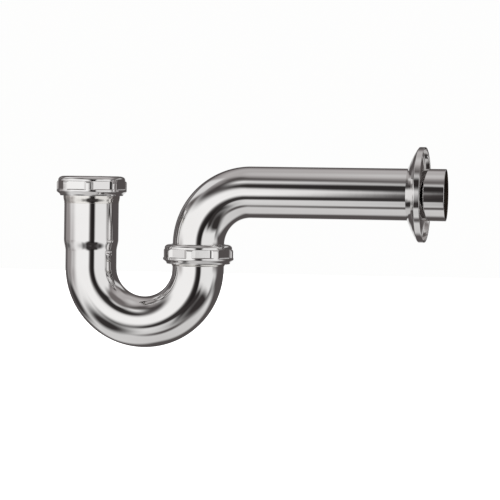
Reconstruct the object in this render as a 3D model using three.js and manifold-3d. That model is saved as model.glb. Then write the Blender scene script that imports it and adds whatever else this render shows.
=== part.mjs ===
// Chrome-plated tubular-brass P-trap, nominal 1-1/2 inch, with slip-nut inlet, union and wall flange.
// Units are millimetres, +Z is up. The origin is the centre of the wall tube's open end; +X points out of that
// end, into the wall. The J-bend hangs below the union, in the same vertical plane as the wall tube.

import * as THREE from 'three';
import { mergeVertices } from 'three/addons/utils/BufferGeometryUtils.js';
import Module from 'manifold-3d';

const wasm = await Module();
wasm.setup();

// ---------------------------------------------------------------- driving dimensions
const TUBE_OD = 38.1;          // 1-1/2 inch tube
const TUBE_WALL = 1.15;        // 17 gauge
const SOCKET_OD = 40.7;        // expanded inlet end that takes a 38.1 tailpiece
const SEAT_GAP = 0.3;          // gap kept between pieces that touch

const UNION_X = -183.0;        // axis of the union, below the wall bend
const INLET_X = -264.3;        // axis of the inlet leg
const WALL_AXIS_Z = 0.0;       // axis of the wall tube
const DATUM_Z = -46.3;         // mid height of the union nut, from which the levels below are measured

const BEND_RADIUS = (UNION_X - INLET_X) / 2;    // J-bend centreline
const J_ARC_Z = DATUM_Z - 10.45;                // centre height of the J-bend arc
const J_TOP_Z = DATUM_Z + 0.7;                  // top of the outlet leg
const INLET_TOP_Z = DATUM_Z + 50.0;             // top of the inlet socket
const SOCKET_STEP_Z = [DATUM_Z + 7.3, DATUM_Z + 2.05];

const WALL_BEND_RADIUS = 39.3;
const WALL_ARC_Z = DATUM_Z + 7.0;               // lower end of the wall bend's arc
const LIP_TOP_Z = DATUM_Z + 4.6;                // rolled lip at the lower end of the wall bend
const LIP_BOTTOM_Z = DATUM_Z + 3.3;
const LIP_R = 21.3;

const PITCH = 25.4 / 11.5;     // 11.5 threads per inch
const MALE_MAJOR_R = 22.3;
const MALE_MINOR_R = 21.3;
const FEMALE_MAJOR_R = 22.7;
const FEMALE_MINOR_R = 21.7;
const TURN_STEPS = 24;         // facets in one turn of a thread

const NUT_HEIGHT = 14.5;
const NUT_BORE_R = 20.05;
const NUT_RELIEF_R = 22.9;
const NUT_TOP_WALL = 2.5;
const NUT_LUG_R = 26.15;
const NUT_LUGS = 8;
const NUT_FLAT_APOTHEM = 24.1;
const NUT_FLAT_TOP = -3.6;     // below the nut's top face
const NUT_FLAT_BOTTOM = -10.0;
const INLET_NUT_TOP_Z = DATUM_Z + 56.6;
const UNION_NUT_TOP_Z = DATUM_Z + 7.4;
const INLET_NUT_LUG_DEG = 8.0;
const UNION_NUT_LUG_DEG = -4.4;

const FLANGE_X = -27.2;        // small end of the flange's cone
const FLANGE_DEPTH = 12.0;
const FLANGE_R = 34.92;        // 2-3/4 inch across
const FLANGE_RIM = 4.25;       // depth of the rim
const FLANGE_SHEET = 1.0;
const FLANGE_BORE_R = 19.45;

const ROUND = 32;              // facets round a tube

// ---------------------------------------------------------------- materials
const chrome = (name) => new THREE.MeshStandardMaterial({ name, color: 0xd8d5d3, roughness: 0.07, metalness: 1.0 });
const plated = (name) => new THREE.MeshStandardMaterial({ name, color: 0xcfcac6, roughness: 0.16, metalness: 1.0 });
const rubber = (name) => new THREE.MeshStandardMaterial({ name, color: 0x1b1b1c, roughness: 0.78, metalness: 0.0 });

// ---------------------------------------------------------------- geometry helpers
const P = (r, h) => new THREE.Vector2(r, h);

function clean(geometry) {
  const g = geometry.index ? geometry.clone() : geometry;
  g.deleteAttribute('normal');
  g.deleteAttribute('uv');
  const merged = mergeVertices(g, 1e-4);
  // triangles that close up at the seam are dropped, and the winding is turned so that faces point out
  const p = merged.attributes.position;
  const index = merged.index.array;
  const keep = [];
  let volume = 0;
  const a = new THREE.Vector3(), b = new THREE.Vector3(), c = new THREE.Vector3();
  for (let i = 0; i < index.length; i += 3) {
    const [i0, i1, i2] = [index[i], index[i + 1], index[i + 2]];
    if (i0 === i1 || i1 === i2 || i2 === i0) continue;
    keep.push(i0, i1, i2);
    a.fromBufferAttribute(p, i0);
    b.fromBufferAttribute(p, i1);
    c.fromBufferAttribute(p, i2);
    volume += a.dot(b.cross(c));
  }
  if (volume < 0) for (let i = 0; i < keep.length; i += 3) [keep[i + 1], keep[i + 2]] = [keep[i + 2], keep[i + 1]];
  merged.setIndex(keep);
  return merged;
}

function toSolid(geometry) {
  const g = clean(geometry);
  return new wasm.Manifold(new wasm.Mesh({
    numProp: 3,
    vertProperties: new Float32Array(g.attributes.position.array),
    triVerts: new Uint32Array(g.index.array),
  }));
}

function fromSolid(solid) {
  const m = solid.getMesh();
  const g = new THREE.BufferGeometry();
  const xyz = new Float32Array(m.numVert * 3);
  for (let i = 0; i < m.numVert; i++) for (let k = 0; k < 3; k++) xyz[i * 3 + k] = m.vertProperties[i * m.numProp + k];
  g.setAttribute('position', new THREE.BufferAttribute(xyz, 3));
  g.setIndex(Array.from(m.triVerts));
  g.computeVertexNormals();
  return g;
}

// a closed section turned about +Z; points are (radius, height)
function turned(points, segments = ROUND) {
  const closed = [...points, points[0].clone()];
  const g = new THREE.LatheGeometry(closed, segments);
  g.rotateX(Math.PI / 2);
  g.rotateZ(Math.PI / 2);
  return g;
}

// a tube whose closed section (radius, distance along the path) is turned, then laid along a flat path in XZ
function bentTube(points, place, segments = ROUND) {
  const closed = [...points, points[0].clone()];
  const g = new THREE.LatheGeometry(closed, segments);
  const p = g.attributes.position;
  for (let i = 0; i < p.count; i++) {
    const across = p.getZ(i), side = p.getX(i), s = p.getY(i);
    const { x, z, tx, tz } = place(s);
    p.setXYZ(i, x - tz * across, side, z + tx * across);
  }
  return g;
}

// a closed section (radius, height) carried up a right-hand helix about +Z, at the steps of a regular polygon
function helix(sectionAt, z0, firstStep, lastStep) {
  const rings = [];
  for (let k = firstStep; k <= lastStep; k++) rings.push({ k, section: sectionAt(k) });
  const n = rings[0].section.length;
  const xyz = [], index = [];
  for (const { k, section } of rings) {
    const t = (k / TURN_STEPS) * 2 * Math.PI;
    for (const q of section) xyz.push(q.x * Math.cos(t), q.x * Math.sin(t), z0 + (k / TURN_STEPS) * PITCH + q.y);
  }
  for (let i = 0; i + 1 < rings.length; i++) {
    for (let j = 0; j < n; j++) {
      const a = i * n + j, b = i * n + (j + 1) % n, c = a + n, d = b + n;
      index.push(a, b, d, a, d, c);
    }
  }
  const last = (rings.length - 1) * n;
  for (let j = 1; j + 1 < n; j++) {
    index.push(0, j + 1, j);
    index.push(last, last + j, last + j + 1);
  }
  const g = new THREE.BufferGeometry();
  g.setAttribute('position', new THREE.Float32BufferAttribute(xyz, 3));
  g.setIndex(index);
  return g;
}

function arcLevels(from, to, count) {
  return Array.from({ length: count + 1 }, (_, i) => from + ((to - from) * i) / count);
}

function mesh(name, geometry, material) {
  const m = new THREE.Mesh(geometry, material);
  m.name = name;
  return m;
}

// ---------------------------------------------------------------- J-bend tube
// path: down the inlet leg, half a circle, up the outlet leg
const J_IN = INLET_TOP_Z - J_ARC_Z;
const J_ARC = Math.PI * BEND_RADIUS;
const J_OUT = J_TOP_Z - J_ARC_Z;
function alongJ(s) {
  if (s <= J_IN) return { x: INLET_X, z: INLET_TOP_Z - s, tx: 0, tz: -1 };
  if (s < J_IN + J_ARC) {
    const t = (s - J_IN) / BEND_RADIUS;
    return {
      x: INLET_X + BEND_RADIUS * (1 - Math.cos(t)), z: J_ARC_Z - BEND_RADIUS * Math.sin(t),
      tx: Math.sin(t), tz: -Math.cos(t),
    };
  }
  return { x: UNION_X, z: J_ARC_Z + (s - J_IN - J_ARC), tx: 0, tz: 1 };
}
const R = TUBE_OD / 2, RI = R - TUBE_WALL;
const RS = SOCKET_OD / 2, RSI = RS - TUBE_WALL;
const stepS = SOCKET_STEP_Z.map((z) => INLET_TOP_Z - z);
const jArc = arcLevels(J_IN, J_IN + J_ARC, 16);
const jEnd = J_IN + J_ARC + J_OUT;
const jTube = bentTube([
  P(RS, 0), P(RS, stepS[0]), P(R, stepS[1]), ...jArc.map((s) => P(R, s)), P(R, jEnd),
  P(RI, jEnd), ...jArc.slice().reverse().map((s) => P(RI, s)), P(RI, stepS[1]), P(RSI, stepS[0] - 0.4), P(RSI, 0),
], alongJ);

// ---------------------------------------------------------------- wall bend tube
// path: from the open end back along the wall tube, a quarter circle, down to the rolled lip
const W_RUN = -UNION_X - WALL_BEND_RADIUS;
const W_ARC = (Math.PI / 2) * WALL_BEND_RADIUS;
function alongWall(s) {
  if (s <= W_RUN) return { x: -s, z: WALL_AXIS_Z, tx: -1, tz: 0 };
  if (s < W_RUN + W_ARC) {
    const t = (s - W_RUN) / WALL_BEND_RADIUS;
    return {
      x: -W_RUN - WALL_BEND_RADIUS * Math.sin(t), z: WALL_ARC_Z + WALL_BEND_RADIUS * Math.cos(t),
      tx: -Math.cos(t), tz: -Math.sin(t),
    };
  }
  return { x: UNION_X, z: WALL_ARC_Z - (s - W_RUN - W_ARC), tx: 0, tz: -1 };
}
const wArc = arcLevels(W_RUN, W_RUN + W_ARC, 9);
const wAt = (z) => W_RUN + W_ARC + (WALL_ARC_Z - z);
const wallTube = bentTube([
  P(R, 0), ...wArc.map((s) => P(R, s)), P(R, wAt(LIP_TOP_Z)), P(LIP_R, wAt(LIP_TOP_Z)),
  P(LIP_R, wAt(LIP_BOTTOM_Z)), P(RI, wAt(LIP_BOTTOM_Z)), ...wArc.slice().reverse().map((s) => P(RI, s)), P(RI, 0),
], alongWall);

// ---------------------------------------------------------------- threaded ferrules, brazed on the tube's ends
const CREST = 0.28, FLANK = Math.tan(Math.PI / 6);
function maleThread(z0, bottom, top) {
  const first = Math.ceil(((bottom + 1.1 - z0) / PITCH) * TURN_STEPS);
  const last = Math.floor(((top - 1.1 - z0) / PITCH) * TURN_STEPS);
  const section = (k) => {
    const fade = Math.min(1, (k - first) / 4, (last - k) / 4);
    const r = MALE_MINOR_R - 0.1 + (MALE_MAJOR_R - MALE_MINOR_R + 0.1) * Math.max(0, fade);
    const root = MALE_MINOR_R - 0.35;
    const wide = CREST + (MALE_MAJOR_R - root) * FLANK;
    const tip = CREST + (MALE_MAJOR_R - r) * FLANK;
    return [P(root, -wide), P(r, -tip), P(r, tip), P(root, wide)];
  };
  return helix(section, z0, first, last);
}
function ferrule(x, profile, z0, bottom, top) {
  const body = toSolid(turned(profile, TURN_STEPS));
  const ridge = toSolid(maleThread(z0, bottom, top));
  const g = fromSolid(body.add(ridge));
  g.translate(x, 0, 0);
  return g;
}
const INLET_THREAD_Z0 = INLET_NUT_TOP_Z - NUT_HEIGHT;
const UNION_THREAD_Z0 = UNION_NUT_TOP_Z - NUT_HEIGHT;
const inletThreadBottom = DATUM_Z + 41.4;
const inletFerrule = ferrule(INLET_X, [
  P(RS + SEAT_GAP, DATUM_Z + 35.9), P(RS + SEAT_GAP + 0.35, DATUM_Z + 35.9), P(21.1, DATUM_Z + 36.9),
  P(21.2, DATUM_Z + 38.2), P(21.2, DATUM_Z + 41.0), P(MALE_MINOR_R, inletThreadBottom),
  P(MALE_MINOR_R, INLET_TOP_Z - 0.4), P(MALE_MINOR_R - 0.25, INLET_TOP_Z), P(RS + SEAT_GAP, INLET_TOP_Z),
], INLET_THREAD_Z0, inletThreadBottom, INLET_TOP_Z);
const unionThreadBottom = DATUM_Z - 6.8;
const outletFerrule = ferrule(UNION_X, [
  P(R + SEAT_GAP, DATUM_Z - 9.2), P(R + SEAT_GAP + 0.15, DATUM_Z - 9.2), P(19.8, DATUM_Z - 8.4),
  P(19.8, unionThreadBottom), P(MALE_MINOR_R, unionThreadBottom),
  P(MALE_MINOR_R, J_TOP_Z - 0.4), P(MALE_MINOR_R - 0.4, J_TOP_Z), P(R + SEAT_GAP, J_TOP_Z),
], UNION_THREAD_Z0, unionThreadBottom, J_TOP_Z);

// ---------------------------------------------------------------- slip nuts: the same nut, used twice
// heights are below the nut's top face; a round shoulder, then eight wide flats between eight narrow lugs, over a round collar
function slipNut(x, top, lugDeg) {
  const segments = 40;
  const out = 1 / Math.cos(Math.PI / segments);
  const outer = [
    P(0, 0), P(21.6, 0), P(23.7, -0.7), P(24.95, -2.3), P(25.0, -3.6), P(25.85, -4.2), P(NUT_LUG_R, -5.0),
    P(NUT_LUG_R, -11.4), P(23.7, -13.5), P(23.5, -NUT_HEIGHT), P(0, -NUT_HEIGHT),
  ].map((q) => P(q.x * out, q.y));
  const g = new THREE.LatheGeometry(outer, segments);
  g.rotateX(Math.PI / 2);
  g.rotateZ(Math.PI / 2);
  let nut = toSolid(g);
  // eight flats cut between the lugs
  const half = 360 / NUT_LUGS / 2;
  for (let i = 0; i < NUT_LUGS; i++) {
    const window = new THREE.Shape();
    const reach = NUT_LUG_R + 2;
    const corner = NUT_FLAT_APOTHEM * Math.tan(THREE.MathUtils.degToRad(half - 9.5));
    const open = NUT_LUG_R * Math.sin(THREE.MathUtils.degToRad(half - 4.35));
    const slope = (open - corner) / (NUT_LUG_R * Math.cos(THREE.MathUtils.degToRad(half - 4.35)) - NUT_FLAT_APOTHEM);
    const wide = corner + slope * (reach - NUT_FLAT_APOTHEM);
    window.moveTo(NUT_FLAT_APOTHEM, -corner);
    window.lineTo(reach, -wide);
    window.lineTo(reach, wide);
    window.lineTo(NUT_FLAT_APOTHEM, corner);
    window.closePath();
    const cut = new THREE.ExtrudeGeometry(window, { depth: NUT_FLAT_TOP - NUT_FLAT_BOTTOM, bevelEnabled: false });
    cut.translate(0, 0, NUT_FLAT_BOTTOM);
    cut.rotateZ(THREE.MathUtils.degToRad(lugDeg + half + i * 2 * half));
    nut = nut.subtract(toSolid(cut));
  }
  // bore for the tube, relief over the washer, threaded skirt
  const inner = [
    P(0, 1), P(NUT_BORE_R, 1), P(NUT_BORE_R, -NUT_TOP_WALL), P(NUT_RELIEF_R, -NUT_TOP_WALL),
    P(NUT_RELIEF_R, -6.4), P(FEMALE_MINOR_R, -6.9), P(FEMALE_MINOR_R, -NUT_HEIGHT - 1), P(0, -NUT_HEIGHT - 1),
  ];
  const bore = new THREE.LatheGeometry(inner, TURN_STEPS);
  bore.rotateX(Math.PI / 2);
  bore.rotateZ(Math.PI / 2);
  nut = nut.subtract(toSolid(bore));
  const section = () => {
    const tip = 0.42, deep = FEMALE_MINOR_R - 0.5;
    const wide = tip + (FEMALE_MAJOR_R - deep) * FLANK;
    return [P(deep, -Math.min(wide, PITCH / 2 - 0.02)), P(FEMALE_MAJOR_R, -tip), P(FEMALE_MAJOR_R, tip),
      P(deep, Math.min(wide, PITCH / 2 - 0.02))];
  };
  const groove = helix(section, -NUT_HEIGHT, -Math.round(TURN_STEPS * 0.8), Math.round((8.6 / PITCH) * TURN_STEPS));
  nut = nut.subtract(toSolid(groove));
  const result = fromSolid(nut);
  result.translate(x, 0, top);
  return result;
}

// ---------------------------------------------------------------- washers
const inletWasher = turned([
  P(19.4, INLET_TOP_Z + 0.3), P(20.5, INLET_TOP_Z + 0.3), P(21.2, INLET_TOP_Z + 1.6),
  P(21.2, INLET_NUT_TOP_Z - NUT_TOP_WALL - 0.3), P(19.4, INLET_NUT_TOP_Z - NUT_TOP_WALL - 0.3),
], TURN_STEPS);
inletWasher.translate(INLET_X, 0, 0);
const unionWasher = turned([
  P(18.2, J_TOP_Z + 0.3), P(21.2, J_TOP_Z + 0.3), P(21.2, LIP_BOTTOM_Z - 0.3), P(18.2, LIP_BOTTOM_Z - 0.3),
], TURN_STEPS);
unionWasher.translate(UNION_X, 0, 0);

// ---------------------------------------------------------------- wall flange: shallow spun cone with a turned-back rim
const coneEnd = FLANGE_DEPTH - FLANGE_RIM;
const flange = turned([
  P(FLANGE_BORE_R, 0), P(20.55, 0), P(26.4, 2.6), P(31.3, 5.2), P(34.1, 7.0), P(FLANGE_R, coneEnd),
  P(FLANGE_R, FLANGE_DEPTH), P(FLANGE_R - FLANGE_SHEET, FLANGE_DEPTH), P(FLANGE_R - FLANGE_SHEET, coneEnd + 0.5),
  P(33.3, 7.75), P(30.8, 6.15), P(25.9, 3.55), P(20.75, 1.3), P(FLANGE_BORE_R, 1.3),
], 36);
flange.rotateZ(-Math.PI / 2);
flange.rotateY(Math.PI / 2);
flange.translate(FLANGE_X, 0, WALL_AXIS_Z);

// ---------------------------------------------------------------- assembly
const trap = new THREE.Group();
trap.add(
  mesh('wall_bend_tube', clean(wallTube), chrome('chrome_tube')),
  mesh('wall_flange', clean(flange), chrome('chrome_flange')),
  mesh('union_slip_nut', slipNut(UNION_X, UNION_NUT_TOP_Z, UNION_NUT_LUG_DEG), chrome('chrome_nut')),
  mesh('union_washer', clean(unionWasher), rubber('black_rubber')),
  mesh('outlet_ferrule', outletFerrule, plated('plated_brass')),
  mesh('j_bend_tube', clean(jTube), chrome('chrome_tube')),
  mesh('inlet_ferrule', inletFerrule, plated('plated_brass')),
  mesh('inlet_slip_washer', clean(inletWasher), rubber('black_rubber')),
  mesh('inlet_slip_nut', slipNut(INLET_X, INLET_NUT_TOP_Z, INLET_NUT_LUG_DEG), chrome('chrome_nut')),
);

export default trap;
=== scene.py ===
"""Looks for the chrome tubular-brass P-trap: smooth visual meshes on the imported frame, materials, studio and camera."""

import math

import bpy
import numpy as np
from mathutils import Matrix, Vector


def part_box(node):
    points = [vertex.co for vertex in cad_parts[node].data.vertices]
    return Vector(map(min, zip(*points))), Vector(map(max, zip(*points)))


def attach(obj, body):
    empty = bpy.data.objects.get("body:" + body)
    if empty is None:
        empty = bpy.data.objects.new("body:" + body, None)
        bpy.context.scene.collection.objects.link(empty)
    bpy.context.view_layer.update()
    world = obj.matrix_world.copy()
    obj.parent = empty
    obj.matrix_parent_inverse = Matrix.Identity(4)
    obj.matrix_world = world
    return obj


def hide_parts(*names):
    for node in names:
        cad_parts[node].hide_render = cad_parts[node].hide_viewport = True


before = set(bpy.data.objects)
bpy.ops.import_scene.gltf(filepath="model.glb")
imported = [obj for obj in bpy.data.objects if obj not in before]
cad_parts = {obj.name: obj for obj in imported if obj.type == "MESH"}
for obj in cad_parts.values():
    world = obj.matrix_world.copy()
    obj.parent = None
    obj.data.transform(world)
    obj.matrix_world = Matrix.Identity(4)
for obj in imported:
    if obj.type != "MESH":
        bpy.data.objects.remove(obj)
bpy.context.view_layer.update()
scene = bpy.context.scene
MM = 0.001

# ------------------------------------------------------------------ places, read from the frame (millimetres)
def box_mm(node):
    lo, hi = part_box(node)
    return np.array(lo) * 1000.0, np.array(hi) * 1000.0


wall_lo, wall_hi = box_mm("wall_bend_tube")
j_lo, j_hi = box_mm("j_bend_tube")
in_lo, in_hi = box_mm("inlet_slip_nut")
un_lo, un_hi = box_mm("union_slip_nut")
fl_lo, fl_hi = box_mm("wall_flange")

TUBE_R = wall_hi[2]                      # the wall tube's axis is the frame's X axis
TUBE_IR = TUBE_R - 1.15
SOCKET_R = j_hi[1]
SOCKET_IR = SOCKET_R - 1.15
UNION_X = (un_lo[0] + un_hi[0]) / 2
INLET_X = (in_lo[0] + in_hi[0]) / 2
DATUM = un_hi[2] - 6.9
J_TOP = DATUM + 0.7
INLET_TOP = j_hi[2]
J_BEND_R = (UNION_X - INLET_X) / 2
J_ARC_Z = j_lo[2] + TUBE_R + J_BEND_R
WALL_BEND_R = 39.3
WALL_ARC_Z = -WALL_BEND_R
LIP_BOTTOM = wall_lo[2]
LIP_TOP = LIP_BOTTOM + 1.3
LIP_R = 21.3
PITCH = 25.4 / 11.5
NUT_H = un_hi[2] - un_lo[2]
NUT_LUG_R = 26.15
INLET_LUG_DEG = 8.0
UNION_LUG_DEG = -4.4


# ------------------------------------------------------------------ mesh helpers
def rounded(points, seg=5, support=0.35):
    """A closed polyline (a, b, fillet radius) with its corners rounded, and a support point beside each fillet."""
    n = len(points)
    out = []
    for i in range(n):
        p0 = np.array(points[i - 1][:2], float)
        p1 = np.array(points[i][:2], float)
        p2 = np.array(points[(i + 1) % n][:2], float)
        r = points[i][2]
        d0, d1 = p0 - p1, p2 - p1
        l0, l1 = np.linalg.norm(d0), np.linalg.norm(d1)
        d0, d1 = d0 / l0, d1 / l1
        ang = math.acos(max(-1.0, min(1.0, float(d0 @ d1))))
        if r <= 0 or ang > math.radians(179.0):
            out.append(tuple(p1))
            continue
        t = r / math.tan(ang / 2)
        t = min(t, 0.46 * l0, 0.46 * l1)
        r = t * math.tan(ang / 2)
        bis = (d0 + d1) / np.linalg.norm(d0 + d1)
        c = p1 + bis * (r / math.sin(ang / 2))
        a, b = p1 + d0 * t, p1 + d1 * t
        if l0 > 2.6 * t + support:
            out.append(tuple(a + d0 * min(support, 0.3 * (l0 - 2 * t))))
        va, vb = a - c, b - c
        sweep = math.acos(max(-1.0, min(1.0, float(va @ vb) / (np.linalg.norm(va) * np.linalg.norm(vb) + 1e-12))))
        k = max(2, seg)
        for j in range(k + 1):
            f = j / k
            v = (math.sin((1 - f) * sweep) * va + math.sin(f * sweep) * vb) / max(1e-9, math.sin(sweep))
            out.append(tuple(c + v))
        if l1 > 2.6 * t + support:
            out.append(tuple(b + d1 * min(support, 0.3 * (l1 - 2 * t))))
    return out


def dense(profile, axis, lo, hi, step):
    """Splits the long edges of a closed profile wherever coordinate `axis` lies between lo and hi."""
    out = []
    n = len(profile)
    for i in range(n):
        p, q = np.array(profile[i], float), np.array(profile[(i + 1) % n], float)
        out.append(tuple(p))
        d = q - p
        if abs(d[axis]) < 1e-9:
            continue
        cuts = []
        t0, t1 = (lo - p[axis]) / d[axis], (hi - p[axis]) / d[axis]
        t0, t1 = max(0.0, min(t0, t1)), min(1.0, max(t0, t1))
        if t1 - t0 <= 1e-9:
            continue
        span = abs(d[axis]) * (t1 - t0)
        k = max(1, int(math.ceil(span / step)))
        cuts = [t0 + (t1 - t0) * j / k for j in range(k + 1)]
        for t in cuts:
            if 1e-6 < t < 1 - 1e-6:
                out.append(tuple(p + d * t))
    return out


def grid_object(name, verts, closed_rows=True, mats=(), face_mat=None, uv=None, row_weights=None):
    """verts[row, column, xyz] in millimetres; columns close on themselves, and rows too when closed_rows."""
    rows, cols, _ = verts.shape
    flat = (verts.reshape(-1, 3) * MM).tolist()
    faces, mat_index = [], []
    last = rows if closed_rows else rows - 1
    for i in range(last):
        i2 = (i + 1) % rows
        for j in range(cols):
            j2 = (j + 1) % cols
            faces.append((i * cols + j, i * cols + j2, i2 * cols + j2, i2 * cols + j))
            mat_index.append(face_mat(i) if face_mat else 0)
    mesh = bpy.data.meshes.new(name)
    mesh.from_pydata(flat, [], faces)
    mesh.update()
    for m in mats:
        mesh.materials.append(m)
    for p, k in zip(mesh.polygons, mat_index):
        p.material_index = k
        p.use_smooth = True
    if uv is not None:
        layer = mesh.uv_layers.new(name="Along")
        data = np.zeros((len(mesh.loops), 2), np.float32)
        n = 0
        us, vs = uv
        for i in range(last):
            i2 = (i + 1) % rows
            for j in range(cols):
                u0, u1 = j / cols, (j + 1) / cols
                v0 = vs[i]
                v1 = vs[i2] if i2 != 0 else vs[i] + us
                data[n:n + 4] = ((u0, v0), (u1, v0), (u1, v1), (u0, v1))
                n += 4
        layer.data.foreach_set("uv", data.ravel())
    obj = bpy.data.objects.new(name, mesh)
    scene.collection.objects.link(obj)
    # outward faces
    signed = 0.0
    co = verts.reshape(-1, 3)
    f = np.array(faces)
    a, b, c, d = co[f[:, 0]], co[f[:, 1]], co[f[:, 2]], co[f[:, 3]]
    signed = np.einsum("ij,ij->i", a, np.cross(b, c)).sum() + np.einsum("ij,ij->i", a, np.cross(c, d)).sum()
    if signed < 0:
        mesh.flip_normals()
    return obj


def turned(profile, cols, centre, axis="Z"):
    """A closed profile (radius, height) turned about a line through centre, along +Z or +X."""
    t = np.linspace(0, 2 * math.pi, cols, endpoint=False)
    p = np.array(profile)
    r, h = p[:, 0][:, None], p[:, 1][:, None]
    if axis == "Z":
        x, y, z = r * np.cos(t), r * np.sin(t), h + 0 * t
    else:
        x, y, z = h + 0 * t, r * np.cos(t), r * np.sin(t)
    v = np.stack([x, y, z], -1)
    return v + np.array(centre, float)


def bent(profile, cols, place, oval=None):
    """A closed profile (radius, distance along the path) turned and laid along a flat path in XZ."""
    t = np.linspace(0, 2 * math.pi, cols, endpoint=False)
    rows = []
    for r, s in profile:
        x, z, tx, tz = place(s)
        k = oval(s) if oval else 0.0
        across = r * (1 - k) * np.cos(t)
        side = r * (1 + 0.6 * k) * np.sin(t)
        rows.append(np.stack([x - tz * across, side, z + tx * across], -1))
    return np.array(rows)


# ------------------------------------------------------------------ materials
def new_material(name):
    m = bpy.data.materials.new(name)
    m.use_nodes = True
    nt = m.node_tree
    nt.nodes.clear()
    out = nt.nodes.new("ShaderNodeOutputMaterial")
    bsdf = nt.nodes.new("ShaderNodeBsdfPrincipled")
    nt.links.new(bsdf.outputs[0], out.inputs[0])
    return m, nt, bsdf


def node(nt, kind, **inputs):
    n = nt.nodes.new(kind)
    for k, v in inputs.items():
        if k.startswith("_"):
            setattr(n, k[1:], v)
        else:
            n.inputs[k].default_value = v
    return n


def noise(nt, coord, scale, detail=3.0, rough=0.5, stretch=None):
    src = coord
    if stretch is not None:
        mp = nt.nodes.new("ShaderNodeMapping")
        mp.inputs["Scale"].default_value = stretch
        nt.links.new(src, mp.inputs["Vector"])
        src = mp.outputs[0]
    n = nt.nodes.new("ShaderNodeTexNoise")
    n.inputs["Scale"].default_value = scale
    n.inputs["Detail"].default_value = detail
    n.inputs["Roughness"].default_value = rough
    nt.links.new(src, n.inputs["Vector"])
    return n.outputs["Fac"]


def mapped(nt, fac, lo, hi, from_lo=0.3, from_hi=0.7):
    m = nt.nodes.new("ShaderNodeMapRange")
    m.inputs["From Min"].default_value = from_lo
    m.inputs["From Max"].default_value = from_hi
    m.inputs["To Min"].default_value = lo
    m.inputs["To Max"].default_value = hi
    nt.links.new(fac, m.inputs["Value"])
    return m.outputs[0]


def mixed(nt, fac, a, b):
    m = nt.nodes.new("ShaderNodeMix")
    m.data_type = "RGBA"
    m.inputs["A"].default_value = (*a, 1.0)
    m.inputs["B"].default_value = (*b, 1.0)
    nt.links.new(fac, m.inputs["Factor"])
    return m.outputs["Result"]


def chrome(name, base=(0.810, 0.803, 0.800), dark=(0.780, 0.771, 0.766), rough=(0.016, 0.036), wave=0.05, wave_scale=140.0,
           line_stretch=(1, 1, 1), line_scale=900.0, line=0.03):
    m, nt, bsdf = new_material(name)
    co = nt.nodes.new("ShaderNodeTexCoord").outputs["Object"]
    broad = noise(nt, co, 28.0, 3.0, 0.55)
    nt.links.new(mixed(nt, mapped(nt, broad, 0.0, 1.0), base, dark), bsdf.inputs["Base Color"])
    bsdf.inputs["Metallic"].default_value = 1.0
    fine = noise(nt, co, 420.0, 4.0, 0.6)
    both = nt.nodes.new("ShaderNodeMath")
    both.operation = "MULTIPLY"
    nt.links.new(mapped(nt, broad, 0.6, 1.0), both.inputs[0])
    nt.links.new(mapped(nt, fine, rough[0] / 0.8, rough[1]), both.inputs[1])
    nt.links.new(both.outputs[0], bsdf.inputs["Roughness"])
    ripple = noise(nt, co, wave_scale, 2.0, 0.5)
    b1 = nt.nodes.new("ShaderNodeBump")
    b1.inputs["Strength"].default_value = wave
    b1.inputs["Distance"].default_value = 0.0002
    nt.links.new(ripple, b1.inputs["Height"])
    lines = noise(nt, co, line_scale, 3.0, 0.6, line_stretch)
    b2 = nt.nodes.new("ShaderNodeBump")
    b2.inputs["Strength"].default_value = line
    b2.inputs["Distance"].default_value = 0.00005
    nt.links.new(lines, b2.inputs["Height"])
    nt.links.new(b1.outputs[0], b2.inputs["Normal"])
    nt.links.new(b2.outputs[0], bsdf.inputs["Normal"])
    return m


def raw_brass(name):
    m, nt, bsdf = new_material(name)
    co = nt.nodes.new("ShaderNodeTexCoord").outputs["Object"]
    patch = noise(nt, co, 55.0, 5.0, 0.6)
    # the unplated bore is real brass, but its very dark tone is painted shade for the inside of the tube
    nt.links.new(mixed(nt, mapped(nt, patch, 0.0, 1.0), (0.150, 0.118, 0.092), (0.090, 0.070, 0.055)), bsdf.inputs["Base Color"])
    bsdf.inputs["Metallic"].default_value = 1.0
    fine = noise(nt, co, 700.0, 4.0, 0.6)
    nt.links.new(mapped(nt, fine, 0.30, 0.46), bsdf.inputs["Roughness"])
    b = nt.nodes.new("ShaderNodeBump")
    b.inputs["Strength"].default_value = 0.25
    b.inputs["Distance"].default_value = 0.0001
    nt.links.new(fine, b.inputs["Height"])
    nt.links.new(b.outputs[0], bsdf.inputs["Normal"])
    return m


def rubber(name):
    m, nt, bsdf = new_material(name)
    co = nt.nodes.new("ShaderNodeTexCoord").outputs["Object"]
    patch = noise(nt, co, 160.0, 5.0, 0.65)
    nt.links.new(mixed(nt, mapped(nt, patch, 0.0, 1.0), (0.020, 0.020, 0.021), (0.045, 0.044, 0.043)), bsdf.inputs["Base Color"])
    fine = noise(nt, co, 1500.0, 4.0, 0.6)
    nt.links.new(mapped(nt, fine, 0.55, 0.78), bsdf.inputs["Roughness"])
    b = nt.nodes.new("ShaderNodeBump")
    b.inputs["Strength"].default_value = 0.4
    b.inputs["Distance"].default_value = 0.0001
    nt.links.new(fine, b.inputs["Height"])
    nt.links.new(b.outputs[0], bsdf.inputs["Normal"])
    return m


CHROME_TUBE = chrome("chrome_tube")
CHROME_NUT = chrome("chrome_nut", rough=(0.028, 0.060), wave=0.12, wave_scale=220.0)
CHROME_FLANGE = chrome("chrome_flange", rough=(0.025, 0.055), wave=0.06, line_stretch=(6, 1, 1), line=0.04)
CHROME_FERRULE = chrome("chrome_ferrule", base=(0.78, 0.765, 0.74), dark=(0.72, 0.70, 0.67), rough=(0.08, 0.16), wave=0.12, wave_scale=260.0)
# bore brass: a real unplated surface, painted much darker than brass as painted shade inside the tubes
BRASS_WITH_PAINTED_SHADE = raw_brass("raw_brass")
RUBBER = rubber("black_rubber")

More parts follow.
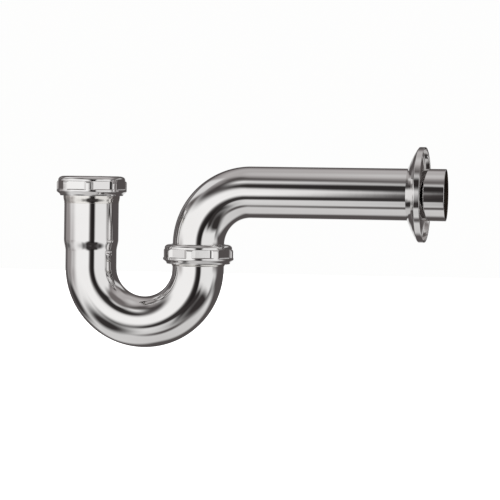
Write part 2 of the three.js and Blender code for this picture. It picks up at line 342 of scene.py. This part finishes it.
# ------------------------------------------------------------------ J-bend tube
J_IN = INLET_TOP - J_ARC_Z
J_ARC = math.pi * J_BEND_R
J_OUT = J_TOP - J_ARC_Z
J_END = J_IN + J_ARC + J_OUT


def along_j(s):
    if s <= J_IN:
        return INLET_X, INLET_TOP - s, 0.0, -1.0
    if s < J_IN + J_ARC:
        t = (s - J_IN) / J_BEND_R
        return INLET_X + J_BEND_R * (1 - math.cos(t)), J_ARC_Z - J_BEND_R * math.sin(t), math.sin(t), -math.cos(t)
    return UNION_X, J_ARC_Z + (s - J_IN - J_ARC), 0.0, 1.0


STEP_FROM, STEP_TO = INLET_TOP - (DATUM + 9.1), INLET_TOP - (DATUM + 0.3)     # the expanded socket tapers into the tube


def socket_taper(outer, inner, up):
    """Points along a smooth S between the socket's radius and the tube's."""
    pts = []
    for i in range(25):
        f = i / 24
        g = f * f * (3 - 2 * f)
        pts.append((outer + (inner - outer) * g, STEP_FROM + (STEP_TO - STEP_FROM) * f, 0))
    return pts if up else pts[::-1]


j_profile = rounded([(SOCKET_R, 0, 0.3)] + socket_taper(SOCKET_R, TUBE_R, True) + [
    (TUBE_R, J_END, 0.25), (TUBE_IR, J_END, 0.25)] + socket_taper(SOCKET_IR, TUBE_IR, False) + [(SOCKET_IR, 0, 0.3)], seg=8)
j_profile = dense(j_profile, 1, J_IN - 3, J_IN + J_ARC + 3, 1.45)
j_inner = [r < (TUBE_IR + 0.45 if s > (STEP_FROM + STEP_TO) / 2 else SOCKET_IR + 0.3) for r, s in j_profile]
# the tube's inside faces take the brass with painted shade
j_tube = grid_object("j_bend_tube_chrome", bent(j_profile, 128, along_j), mats=(CHROME_TUBE, BRASS_WITH_PAINTED_SHADE),
                     face_mat=lambda i: 1 if j_inner[i] and j_inner[(i + 1) % len(j_inner)] else 0)
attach(j_tube, "j_bend")
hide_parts("j_bend_tube")

# ------------------------------------------------------------------ wall bend tube
W_RUN = -UNION_X - WALL_BEND_R
W_ARC = math.pi / 2 * WALL_BEND_R


def along_wall(s):
    if s <= W_RUN:
        return -s, 0.0, -1.0, 0.0
    if s < W_RUN + W_ARC:
        t = (s - W_RUN) / WALL_BEND_R
        return -W_RUN - WALL_BEND_R * math.sin(t), WALL_ARC_Z + WALL_BEND_R * math.cos(t), -math.cos(t), -math.sin(t)
    return UNION_X, WALL_ARC_Z - (s - W_RUN - W_ARC), 0.0, -1.0


def wall_s(z):
    return W_RUN + W_ARC + (WALL_ARC_Z - z)


w_profile = rounded([
    (TUBE_R, 0, 0.35), (TUBE_R, wall_s(LIP_TOP), 0.5), (LIP_R, wall_s(LIP_TOP), 0.3), (LIP_R, wall_s(LIP_BOTTOM), 0.3),
    (TUBE_IR, wall_s(LIP_BOTTOM), 0.8), (TUBE_IR, 0, 0.2),
], seg=6)
w_profile = dense(w_profile, 1, W_RUN - 3, W_RUN + W_ARC + 1, 1.4)
w_inner = [r < TUBE_IR + 0.1 for r, s in w_profile]
# the tube's inside faces take the brass with painted shade
wall_tube = grid_object("wall_bend_tube_chrome", bent(w_profile, 128, along_wall), mats=(CHROME_TUBE, BRASS_WITH_PAINTED_SHADE),
                        face_mat=lambda i: 1 if w_inner[i] and w_inner[(i + 1) % len(w_inner)] else 0)
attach(wall_tube, "wall_bend")
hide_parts("wall_bend_tube")

# ------------------------------------------------------------------ threads: the same right-hand helix on ferrules and nuts
CREST, SLOPE = 0.28, math.tan(math.radians(30))


def thread_distance(z, t, z0):
    u = ((z - z0) / PITCH - t / (2 * math.pi)) % 1.0
    u = np.where(u > 0.5, u - 1.0, u)
    return np.abs(u) * PITCH


def smooth_min(a, b, k):
    h = np.clip(0.5 + 0.5 * (b - a) / k, 0, 1)
    return b * (1 - h) + a * h - k * h * (1 - h)


def smooth_max(a, b, k):
    return -smooth_min(-a, -b, k)


def ferrule(name, cad, x, z0, top, bottom, bore, skirt):
    """Threaded ring: the outside is a height field over angle and height, the bore is plain."""
    major, minor = 22.3, 21.3
    t = np.linspace(0, 2 * math.pi, 160, endpoint=False)
    rows = []
    # bore, going up
    lead = 0.02 if skirt else 0.25
    for r, z in ((bore + lead, bottom), (bore + 0.2 * lead, bottom + 0.1), (bore, bottom + 0.3), (bore, top - 0.3), (bore + 0.05, top - 0.1), (bore + 0.25, top)):
        rows.append(np.stack([r * np.cos(t), r * np.sin(t), z + 0 * t], -1))
    levels = np.arange(top, bottom - 1e-6, -0.1)
    if abs(levels[-1] - bottom) > 1e-6:
        levels = np.append(levels, bottom)
    for z in levels:
        d = thread_distance(z, t, z0)
        ridge = major - np.maximum(0, d - CREST) / SLOPE
        ridge = smooth_min(ridge, np.full_like(ridge, major), 0.08)
        r = smooth_max(ridge, np.full_like(ridge, minor), 0.10)
        start = top - z
        thread_end = skirt[0][1] if skirt else bottom
        fade = min(1.0, max(0.0, (start - 0.15) / 0.9)) * min(1.0, max(0.0, (z - thread_end) / 0.9))
        r = minor + (r - minor) * fade
        edge = minor - 0.45 * max(0.0, 1 - start / 0.5) ** 1.6
        r = np.minimum(r, edge + (major - minor) * fade)
        if skirt and z < skirt[0][1]:
            zs = [q[1] for q in skirt][::-1]
            rs = [q[0] for q in skirt][::-1]
            r = np.full_like(t, np.interp(z, zs, rs))
        elif not skirt:
            r = r - 0.35 * max(0.0, 1 - (z - bottom) / 0.4) ** 1.6
        rows.append(np.stack([r * np.cos(t), r * np.sin(t), z + 0 * t], -1))
    v = np.array(rows) + np.array([x, 0, 0])
    obj = grid_object(name, v, mats=(CHROME_FERRULE,))
    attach(obj, "j_bend")
    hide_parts(cad)
    return obj


def curve_points(pts, n):
    """A smooth monotone curve through (radius, height) points, by cosine steps between them."""
    out = []
    for (r0, z0), (r1, z1) in zip(pts[:-1], pts[1:]):
        for i in range(n):
            f = i / n
            g = 0.5 - 0.5 * math.cos(math.pi * f)
            out.append((r0 + (r1 - r0) * g, z0 + (z1 - z0) * f))
    out.append(pts[-1])
    return out


inlet_skirt = curve_points([(21.3, DATUM + 43.3), (21.14, DATUM + 42.7)], 4) + [(21.12, DATUM + 42.0)] + curve_points(
    [(21.09, DATUM + 40.8), (SOCKET_R + 0.05, DATUM + 35.9)], 26)
outlet_skirt = curve_points([(21.3, DATUM - 6.8), (19.84, DATUM - 7.1)], 4) + curve_points(
    [(19.8, DATUM - 8.2), (TUBE_R + 0.34, DATUM - 9.2)], 8)
inlet_ferrule = ferrule("inlet_ferrule_plated", "inlet_ferrule", INLET_X, in_hi[2] - NUT_H, INLET_TOP, DATUM + 35.9,
                        SOCKET_R + 0.02, inlet_skirt)
outlet_ferrule = ferrule("outlet_ferrule_plated", "outlet_ferrule", UNION_X, un_hi[2] - NUT_H, J_TOP, DATUM - 9.2,
                         TUBE_R + 0.3, outlet_skirt)


# ------------------------------------------------------------------ slip nuts
def nut(name, cad, body, x, top, lug_deg):
    # angles: dense where the lugs' bevelled sides are
    angles = []
    for k in range(8):
        c = k * 45.0
        marks = [-22.5, -18, -13, -10.6, -9.9, -9.5, -9.0, -8.3, -7.5, -6.7, -6.0, -5.4, -4.9, -4.6, -4.35, -4.1, -3.6, -2.4, -1.2, 0.0]
        marks += [-m for m in marks[-2:0:-1]]
        angles += [c + m for m in marks]
    angles = np.radians(np.array(angles) + lug_deg)
    deg = (np.degrees(angles) - lug_deg + 22.5) % 45.0 - 22.5      # angle from the nearest lug's middle
    off_flat = np.radians(22.5 - np.abs(deg))                      # angle from the middle of the flat
    flat = 24.1 / np.cos(off_flat)
    lug_side = np.abs(deg)
    foot = 24.1 / math.cos(math.radians(13.0))
    # the lugs' sides are hollowed a little, so they steepen towards the front
    side = np.clip((9.5 - lug_side) / 5.15, 0, 1)
    bevel = foot + (NUT_LUG_R - foot) * (0.55 * side + 0.45 * side ** 2)
    band = np.where(lug_side < 9.5, bevel, flat)
    # outside, from the top face down: (height below the top, envelope radius)
    def envelope(h):
        pts = [(0.0, 21.2), (0.04, 21.6), (0.15, 22.2), (0.35, 22.9), (0.6, 23.45), (0.9, 23.92), (1.3, 24.37), (1.7, 24.7), (2.2, 24.92),
               (2.8, 25.0), (3.5, 25.0), (3.62, 25.05), (3.8, 25.45), (4.1, 25.8), (4.6, 26.04), (5.1, 26.13), (5.4, 26.15), (11.15, 26.15),
               (11.4, 26.1), (11.6, 25.97), (11.8, 25.75), (12.0, 25.48), (13.1, 24.1), (13.35, 23.86), (13.6, 23.7), (14.3, 23.53),
               (14.5, 23.35)]
        return float(np.interp(h, [p[0] for p in pts], [p[1] for p in pts]))

    rows = []
    t = angles
    heights = [0.0, 0.04, 0.09, 0.15, 0.25, 0.35, 0.5, 0.7, 0.9, 1.1, 1.3, 1.5, 1.7, 1.95, 2.2, 2.5, 2.8, 3.1, 3.3, 3.4, 3.46, 3.52, 3.58,
               3.64, 3.7, 3.76, 3.82, 3.9, 4.0, 4.1, 4.3, 4.6, 5.1, 5.4, 6.2, 7.0, 7.8, 8.6, 9.1, 9.35, 9.45,
               9.55, 9.65, 9.73, 9.81, 9.89, 9.95, 10.0, 10.08, 10.2, 10.4, 10.7, 10.95, 11.15, 11.28, 11.4, 11.5, 11.6, 11.7, 11.8, 11.9, 12.0,
               12.3, 12.7, 13.1, 13.22, 13.35, 13.48, 13.6, 13.9, 14.2, 14.36, 14.44, 14.5]
    # the flats stop on a small fillet at the collar's ledge
    for h in heights:
        env = envelope(h)
        if h < 3.4:
            wall = np.full_like(t, NUT_LUG_R + 1.0)
        elif h < 3.76:
            f = (3.76 - h) / 0.36
            wall = band + 1.4 * f * f
        elif h < 9.4:
            wall = band
        elif h < 10.08:
            f = (h - 9.4) / 0.68
            g = 1 - math.sqrt(max(0.0, 1 - f * f))
            wall = band + (NUT_LUG_R + 0.3 - band) * g
        else:
            wall = np.full_like(t, NUT_LUG_R + 1.0)
        r = smooth_min(wall, np.full_like(wall, env), 0.10)
        rows.append(np.stack([r * np.cos(t), r * np.sin(t), -h + 0 * t], -1))
    # lower face, then the threaded bore going up, the relief, the inside of the top wall and the bore for the tube
    z0 = -NUT_H
    rows.append(np.stack([23.1 * np.cos(t), 23.1 * np.sin(t), -14.5 + 0 * t], -1))
    for h in np.arange(14.48, 6.8, -0.1):
        d = thread_distance(-h, t, z0)
        groove = 22.7 - np.maximum(0, d - 0.42) / SLOPE
        groove = smooth_min(groove, np.full_like(groove, 22.7), 0.08)
        r = smooth_max(groove, np.full_like(groove, 21.7), 0.08)
        lead = max(0.0, 1 - (14.48 - h) / 0.7)
        r = np.maximum(r, 21.7 + 1.0 * lead)
        rows.append(np.stack([r * np.cos(t), r * np.sin(t), -h + 0 * t], -1))
    for r, h in ((22.2, 6.65), (22.7, 6.45), (22.9, 6.25), (22.9, 5.9), (22.9, 3.0), (22.85, 2.7), (22.6, 2.53), (22.2, 2.5), (20.6, 2.5),
                 (20.2, 2.45), (20.07, 2.3), (20.05, 2.0), (20.05, 0.45), (20.1, 0.16), (20.22, 0.03), (20.4, 0.0), (21.1, 0.0)):
        rows.append(np.stack([r * np.cos(t), r * np.sin(t), -h + 0 * t], -1))
    v = np.array(rows) + np.array([x, 0, top])
    obj = grid_object(name, v, mats=(CHROME_NUT,))
    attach(obj, body)
    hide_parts(cad)
    return obj


nut("inlet_slip_nut_chrome", "inlet_slip_nut", "inlet_nut", INLET_X, in_hi[2], INLET_LUG_DEG)
nut("union_slip_nut_chrome", "union_slip_nut", "union_nut", UNION_X, un_hi[2], UNION_LUG_DEG)

# ------------------------------------------------------------------ rubber washers
iw = rounded([(19.4, INLET_TOP + 0.3, 0.3), (20.5, INLET_TOP + 0.3, 0.4), (21.2, INLET_TOP + 1.6, 0.6),
              (21.2, in_hi[2] - 2.8, 0.3), (19.4, in_hi[2] - 2.8, 0.3)], seg=4, support=0.2)
washer = grid_object("inlet_slip_washer_rubber", turned(iw, 96, (INLET_X, 0, 0)), mats=(RUBBER,))
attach(washer, "inlet_joint")
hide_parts("inlet_slip_washer")
uw = rounded([(18.2, J_TOP + 0.3, 0.2), (21.2, J_TOP + 0.3, 0.2), (21.2, LIP_BOTTOM - 0.3, 0.2), (18.2, LIP_BOTTOM - 0.3, 0.2)],
             seg=3, support=0.2)
washer = grid_object("union_washer_rubber", turned(uw, 96, (UNION_X, 0, 0)), mats=(RUBBER,))
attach(washer, "union_joint")
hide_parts("union_washer")

# ------------------------------------------------------------------ wall flange: spun sheet, about 1 mm thick
fx = fl_lo[0]
FR = fl_hi[2] - 0.06
flange_profile = rounded([
    (19.45, fx, 0.3), (20.6, fx, 0.6), (26.4, fx + 2.6, 6.0), (31.3, fx + 5.2, 6.0), (34.0, fx + 6.95, 1.5), (FR, fx + 7.75, 0.5),
    (FR, fx + 12.0, 0.35), (FR - 1.0, fx + 12.0, 0.35), (FR - 1.0, fx + 8.3, 0.6), (33.3, fx + 7.8, 1.2),
    (30.8, fx + 6.2, 5.0), (25.9, fx + 3.6, 5.0), (20.8, fx + 1.3, 0.5), (19.45, fx + 1.3, 0.3),
], seg=5, support=0.3)
# its bore is loose on the tube, so it hangs about two degrees askew, within the play
askew = math.radians(2.0)
f_pts = turned(flange_profile, 160, (0, 0, 0), "X") - np.array([fx + 6.2, 0, 0])
f_pts = np.stack([f_pts[..., 0] * math.cos(askew) + f_pts[..., 1] * math.sin(askew),
                  -f_pts[..., 0] * math.sin(askew) + f_pts[..., 1] * math.cos(askew), f_pts[..., 2]], -1) + np.array([fx + 6.2, 0.127, 0])
flange = grid_object("wall_flange_chrome", f_pts, mats=(CHROME_FLANGE,))
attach(flange, "flange")
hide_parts("wall_flange")

# ------------------------------------------------------------------ stage: plain pale floor in front of a plain pale sky
def plain(name, colour, glow):
    m, nt, bsdf = new_material(name)
    bsdf.inputs["Base Color"].default_value = (*colour, 1)
    bsdf.inputs["Roughness"].default_value = 0.9
    bsdf.inputs["Emission Color"].default_value = (*colour, 1)
    bsdf.inputs["Emission Strength"].default_value = glow
    return m


bpy.ops.mesh.primitive_plane_add(size=24.0, location=(-0.145, 0, -0.60))
floor = bpy.context.object
floor.name = "floor"
floor.data.materials.append(plain("floor_pale", (0.97, 0.97, 0.967), 0.72))
floor.visible_glossy = False
floor.visible_transmission = False
floor.visible_diffuse = False
floor.visible_shadow = False

world = bpy.data.worlds.new("pale_sky")
scene.world = world
world.use_nodes = True
world.node_tree.nodes["Background"].inputs[0].default_value = (0.985, 0.985, 0.982, 1)
world.node_tree.nodes["Background"].inputs[1].default_value = 1.0

# ------------------------------------------------------------------ studio: a light tent one metre in radius round the object,
# with two big soft boxes in front, a slit between them for the camera, strips above and a pale table below
TENT = (-0.15, 0.0, -0.05)
bpy.ops.mesh.primitive_ico_sphere_add(subdivisions=5, radius=1.0, location=TENT)
tent = bpy.context.object
tent.name = "light_tent"
tent_mat = bpy.data.materials.new("tent_light")
tent_mat.use_nodes = True
tt = tent_mat.node_tree
tt.nodes.clear()
t_out = tt.nodes.new("ShaderNodeOutputMaterial")
t_em = tt.nodes.new("ShaderNodeEmission")
tt.links.new(t_em.outputs[0], t_out.inputs["Surface"])
t_norm = tt.nodes.new("ShaderNodeVectorMath")
t_norm.operation = "NORMALIZE"
tt.links.new(tt.nodes.new("ShaderNodeTexCoord").outputs["Object"], t_norm.inputs[0])
t_dir = t_norm.outputs[0]


def tmath(op, a, b=None):
    n = tt.nodes.new("ShaderNodeMath")
    n.operation = op
    for i, v in enumerate((a, b)):
        if v is None:
            continue
        if isinstance(v, (int, float)):
            n.inputs[i].default_value = v
        else:
            tt.links.new(v, n.inputs[i])
    return n.outputs[0]


def tdot(v):
    n = tt.nodes.new("ShaderNodeVectorMath")
    n.operation = "DOT_PRODUCT"
    tt.links.new(t_dir, n.inputs[0])
    n.inputs[1].default_value = tuple(v)
    return n.outputs["Value"]


def tfade(v, edge, soft):
    """1 well inside the edge, 0 well outside it, smooth between."""
    n = tt.nodes.new("ShaderNodeMapRange")
    n.interpolation_type = "SMOOTHSTEP"
    n.inputs["From Min"].default_value = edge - soft
    n.inputs["From Max"].default_value = edge + soft
    n.inputs["To Min"].default_value = 1.0
    n.inputs["To Max"].default_value = 0.0
    tt.links.new(v, n.inputs["Value"])
    return n.outputs[0]


def light_tint(level):
    """Bright light is neutral; the dark parts of the studio are slightly warm."""
    g = 0.875 + 0.12 * min(1.0, level / 0.75)
    return (level, level * g, level * (g - 0.004), 1.0)


def panel(kind, az, el, half_w, half_h, roll, soft):
    """Soft-edged box or ellipse on the tent. Degrees; azimuth 0 looks along -Y, positive toward +X."""
    a, e, r = math.radians(az), math.radians(el), math.radians(roll)
    c = np.array([math.sin(a) * math.cos(e), -math.cos(a) * math.cos(e), math.sin(e)])
    side = np.array([math.cos(a), math.sin(a), 0.0])
    up = np.cross(side, c)
    if up[2] < 0:
        up = -up
    side, up = side * math.cos(r) + up * math.sin(r), -side * math.sin(r) + up * math.cos(r)
    x = tmath("MULTIPLY", tmath("ARCTAN2", tdot(side), tdot(c)), 57.29578)
    y = tmath("MULTIPLY", tmath("ARCSINE", tdot(up)), 57.29578)
    if kind == "box":
        return tmath("MULTIPLY", tfade(tmath("ABSOLUTE", x), half_w, soft), tfade(tmath("ABSOLUTE", y), half_h, soft))
    q = tmath("SQRT", tmath("ADD", tmath("POWER", tmath("DIVIDE", x, half_w), 2.0), tmath("POWER", tmath("DIVIDE", y, half_h), 2.0)))
    return tfade(q, 1.0, soft / min(half_w, half_h))


ramp = tt.nodes.new("ShaderNodeValToRGB")
tt.links.new(tmath("DIVIDE", tmath("ADD", tmath("MULTIPLY", tmath("ARCSINE", tdot((0, 0, 1))), 57.29578), 90.0), 180.0), ramp.inputs[0])
BY_HEIGHT = ((-90, 0.69), (-60, 0.74), (-48, 0.75), (-35, 0.86), (-20, 0.93), (0, 1.11), (30, 0.14), (45, 0.34), (60, 0.53), (75, 0.51), (90, 0.67))
stops = ramp.color_ramp.elements
while len(stops) < len(BY_HEIGHT):
    stops.new(0.5)
for stop, (el, level) in zip(stops, BY_HEIGHT):
    stop.position = (el + 90) / 180
    stop.color = light_tint(level)
current = ramp.outputs[0]
STUDIO = (
    ("box", 164, -9, 58, 46, -32, 10, 0.10),      # dark room to the right and behind
    ("box", 169, 43, 53.5, 2.5, -12, 10, 0.15),
    ("box", -105, 44, 18, 10.5, 34, 3.5, 0.84),   # side light, upper left
    ("box", -126, -6, 13, 32.5, -17, 8.5, 0.12),  # dark room to the left
    ("box", -100, -2, 14.5, 7.5, -17, 4.5, 0.35),
    ("ell", -105, -22, 18.5, 14.5, -27, 8, 0.05),
    ("box", -2, 36, 38, 16, -41, 4.5, 0.03),      # dark frame above the soft boxes
    ("ell", 18, -8, 21, 25.5, 22, 6.5, 0.06),     # slit for the camera
    ("ell", -51, -39, 20, 14, 16, 8, 0.04),       # dark gaps under the soft boxes
    ("box", -4, -19, 28.5, 8, 10, 7, 0.04),
    ("ell", 54, -34, 36, 17, 16, 10, 0.04),
    ("box", -76, -4, 15, 9.5, 46, 9.5, 0.46),     # left soft box and its dim side
    ("box", -44, 12, 36.5, 20, -23, 9, 1.07),
    ("box", 55, 8, 32, 29.5, -15, 6, 0.94),       # right soft box
    ("ell", 12, -9, 7, 29, 0, 3.5, 0.02),         # darkest part of the slit, and its foot
    ("box", 9, -24, 23, 3.5, 4, 3, 0.04),
    ("box", 96, 10, 17.5, 15.5, -10, 6.5, 0.13),
    ("box", 0, 53, 23.5, 6.5, 11, 10, 1.21),      # strips overhead
    ("ell", 15, 51, 10.5, 16.5, 8, 4.5, 0.85),
    ("ell", -50, 38, 22.5, 10, -3, 9.5, 0.07),
    ("box", -18, 62, 25, 8, -10, 10, 0.11),
    ("ell", 34, 52, 21, 15, -63, 6.5, 0.18),
    ("ell", 12, -60, 21, 6.5, 13, 5, 0.11),
    ("box", -155, 0, 15, 38, 0, 5, 0.10),
    ("box", -171, -5, 11, 16, 0, 5, 0.80),        # window and high strip behind, seen from the far side
    ("box", 138, 33, 22, 6, 0, 4, 0.75),
)
for *shape, level in STUDIO:
    n = tt.nodes.new("ShaderNodeMix")
    n.data_type = "RGBA"
    tt.links.new(panel(*shape), n.inputs["Factor"])
    tt.links.new(current, n.inputs["A"])
    n.inputs["B"].default_value = light_tint(level)
    current = n.outputs["Result"]
tt.links.new(current, t_em.inputs["Color"])
t_em.inputs["Strength"].default_value = 1.0
tent.data.materials.append(tent_mat)
tent.visible_camera = False
tent.visible_shadow = False

# ------------------------------------------------------------------ camera at the photograph's viewing angle
target = Vector((-0.14429, 0.0, -0.04258))
D, yaw, elev, roll = 1.89673, math.radians(9.406), math.radians(2.0), math.radians(0.746)
back = Vector((math.sin(yaw) * math.cos(elev), -math.cos(yaw) * math.cos(elev), math.sin(elev)))
cam_data = bpy.data.cameras.new("camera")
cam_data.lens = 185.0154
cam_data.sensor_width = 36.0
cam_data.clip_end = 40.0
cam = bpy.data.objects.new("camera", cam_data)
scene.collection.objects.link(cam)
cam.location = target + back * D
level = Vector((math.cos(yaw), math.sin(yaw), 0.0))
upright = back.cross(level)
right = level * math.cos(roll) + upright * math.sin(roll)
up = upright * math.cos(roll) - level * math.sin(roll)
cam.rotation_mode = "QUATERNION"
cam.rotation_quaternion = Matrix((right, up, back)).transposed().to_quaternion()
scene.camera = cam
scene.view_settings.view_transform = "Standard"
scene.view_settings.look = "None"

bpy.context.view_layer.update()
